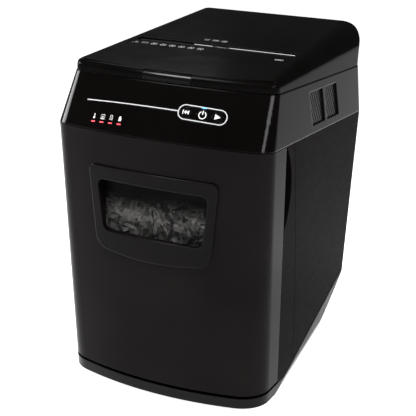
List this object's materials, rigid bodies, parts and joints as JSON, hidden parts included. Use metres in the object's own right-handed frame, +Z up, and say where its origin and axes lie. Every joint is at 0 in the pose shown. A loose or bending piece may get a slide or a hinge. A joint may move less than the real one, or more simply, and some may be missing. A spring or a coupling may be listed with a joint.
{
  "type": "paper shredder",
  "caption": "Auto-feed paper shredder: hinged wedge lid with a manual slot, control band with push buttons, geared cutter block and a pull-out bin with a window.",
  "frame": {"origin": "on the floor under the middle of the whole", "axes": "+Z up along the longest side; the front with the bin and the controls faces -Y; +X is to the user's right"},
  "size_m": [0.325, 0.4169, 0.5211],
  "materials": {
    "satin_black": "fine satin texture, moulded",
    "gloss_black": "high gloss",
    "side_black": "smooth satin",
    "grey_trim": "satin silver print",
    "button_black": "gloss",
    "light_red": "translucent, lit",
    "light_blue": "translucent, lit",
    "smoke_lens": "smoked clear plastic",
    "paper_mix": "shredded office paper",
    "rubber_black": "matt",
    "hard_steel": "hardened, oiled",
    "zinc_steel": "zinc plated",
    "gear_nylon": "natural nylon",
    "inner_grey": "moulded",
    "tub_black": "moulded",
    "board_green": "solder mask",
    "bronze": "sintered bronze"
  },
  "bodies": {
    "housing": {"base_tray": "satin_black", "rubber_feet": "rubber_black", "bin_runners": "gear_nylon", "side_shell_left": "side_black", "side_shell_right": "side_black", "rear_cover": "side_black", "rear_screws": "zinc_steel", "control_trim": "grey_trim", "indicator_lights": "light_red", "power_light": "light_blue", "vent_grilles": "satin_black", "control_band": "gloss_black", "control_board": "board_green", "head_floor": "inner_grey", "bin_switch": "inner_grey", "paper_tray": "inner_grey", "stripper_combs": "inner_grey", "gear_axles": "zinc_steel", "gear_cover": "zinc_steel", "cutter_plate_right": "zinc_steel", "cutter_plate_left": "zinc_steel", "tie_rods": "zinc_steel", "cutter_bushes": "bronze", "motor_body": "zinc_steel", "power_board": "board_green", "hinge_brackets": "zinc_steel", "hinge_pins": "zinc_steel", "cord_gland": "rubber_black", "rocker_housing": "tub_black"},
    "bin": {"bin_front": "gloss_black", "bin_tub": "tub_black", "window_bezel": "satin_black", "window_lens": "smoke_lens", "paper_shreds": "paper_mix"},
    "lid": {"lid_shell": "satin_black", "lid_knuckles": "inner_grey", "slot_insert": "tub_black", "flap_pins": "zinc_steel"},
    "release_button": {"release_button": "satin_black"},
    "feed_flap_front": {"feed_flap_front": "inner_grey"},
    "feed_flap_rear": {"feed_flap_rear": "inner_grey"},
    "reverse_button": {"reverse_button": "button_black"},
    "power_button": {"power_button": "button_black"},
    "forward_button": {"forward_button": "button_black"},
    "power_rocker": {"power_rocker": "button_black"},
    "cutter_rear": {"cutter_shaft_rear": "hard_steel", "cutter_discs_rear": "hard_steel", "cutter_gear_rear": "hard_steel", "bull_gear": "hard_steel"},
    "cutter_front": {"cutter_shaft_front": "hard_steel", "cutter_discs_front": "hard_steel", "cutter_gear_front": "hard_steel"},
    "compound_gear": {"compound_gear": "gear_nylon"},
    "motor_rotor": {"motor_pinion": "hard_steel"},
    "idler_front": {"idler_gear_front": "gear_nylon"},
    "idler_rear": {"idler_gear_rear": "gear_nylon"},
    "feed_front": {"feed_shaft_front": "zinc_steel", "feed_rollers_front": "rubber_black"},
    "feed_rear": {"feed_shaft_rear": "zinc_steel", "feed_rollers_rear": "rubber_black"}
  },
  "joints": [
    {"name": "bin_pull", "type": "slide", "parent": "housing", "child": "bin", "axis": [0, -1, 0], "range_m": [0, 0.28]},
    {"name": "lid_open", "type": "hinge", "parent": "housing", "child": "lid", "pos_m": [0, 0.201, 0.4625], "axis": [-1, 0, 0], "range_deg": [0, 65]},
    {"name": "release_press", "type": "slide", "parent": "lid", "child": "release_button", "axis": [0, 1, 0], "range_m": [0, 0.0025], "stiffness_N_per_m": 600},
    {"name": "flap_front_lift", "type": "hinge", "parent": "lid", "child": "feed_flap_front", "pos_m": [0, -0.147, 0.464], "axis": [1, 0, 0], "range_deg": [0, 6], "stiffness_Nm_per_rad": 2, "springref_deg": -20.05},
    {"name": "flap_rear_lift", "type": "hinge", "parent": "lid", "child": "feed_flap_rear", "pos_m": [0, 0.122, 0.464], "axis": [-1, 0, 0], "range_deg": [0, 6], "stiffness_Nm_per_rad": 2, "springref_deg": -20.05},
    {"name": "reverse_press", "type": "slide", "parent": "housing", "child": "reverse_button", "axis": [0, 0.8893, -0.4573], "range_m": [0, 0.0015], "stiffness_N_per_m": 600},
    {"name": "power_press", "type": "slide", "parent": "housing", "child": "power_button", "axis": [0, 0.8893, -0.4573], "range_m": [0, 0.0015], "stiffness_N_per_m": 600},
    {"name": "forward_press", "type": "slide", "parent": "housing", "child": "forward_button", "axis": [0, 0.8893, -0.4573], "range_m": [0, 0.0015], "stiffness_N_per_m": 600},
    {"name": "rocker_tilt", "type": "hinge", "parent": "housing", "child": "power_rocker", "pos_m": [0, 0.2035, 0.072], "axis": [1, 0, 0], "range_deg": [0, 12]},
    {"name": "cutter_rear_spin", "type": "hinge", "parent": "housing", "child": "cutter_rear", "pos_m": [0, -0.004, 0.402], "axis": [1, 0, 0], "continuous": true},
    {"name": "cutter_front_spin", "type": "hinge", "parent": "housing", "child": "cutter_front", "pos_m": [0, -0.04, 0.402], "axis": [1, 0, 0], "continuous": true},
    {"name": "compound_spin", "type": "hinge", "parent": "housing", "child": "compound_gear", "pos_m": [0, 0.04386, 0.39697], "axis": [1, 0, 0], "continuous": true},
    {"name": "motor_spin", "type": "hinge", "parent": "housing", "child": "motor_rotor", "pos_m": [0, 0.08458, 0.39125], "axis": [1, 0, 0], "continuous": true},
    {"name": "idler_front_spin", "type": "hinge", "parent": "housing", "child": "idler_front", "pos_m": [0, -0.06995, 0.40522], "axis": [1, 0, 0], "continuous": true},
    {"name": "idler_rear_spin", "type": "hinge", "parent": "housing", "child": "idler_rear", "pos_m": [0, 0.02595, 0.40522], "axis": [1, 0, 0], "continuous": true},
    {"name": "feed_front_spin", "type": "hinge", "parent": "housing", "child": "feed_front", "pos_m": [0, -0.06229, 0.4265], "axis": [1, 0, 0], "continuous": true},
    {"name": "feed_rear_spin", "type": "hinge", "parent": "housing", "child": "feed_rear", "pos_m": [0, 0.01829, 0.4265], "axis": [1, 0, 0], "continuous": true}
  ],
  "couplings": [
    {"joint": "cutter_front_spin", "follows": "cutter_rear_spin", "ratio": -1},
    {"joint": "compound_spin", "follows": "cutter_rear_spin", "ratio": -3},
    {"joint": "motor_spin", "follows": "cutter_rear_spin", "ratio": 17.5},
    {"joint": "idler_rear_spin", "follows": "cutter_rear_spin", "ratio": -1.5},
    {"joint": "feed_rear_spin", "follows": "cutter_rear_spin", "ratio": 1.7143},
    {"joint": "idler_front_spin", "follows": "cutter_rear_spin", "ratio": 1.5},
    {"joint": "feed_front_spin", "follows": "cutter_rear_spin", "ratio": -1.7143}
  ]
}
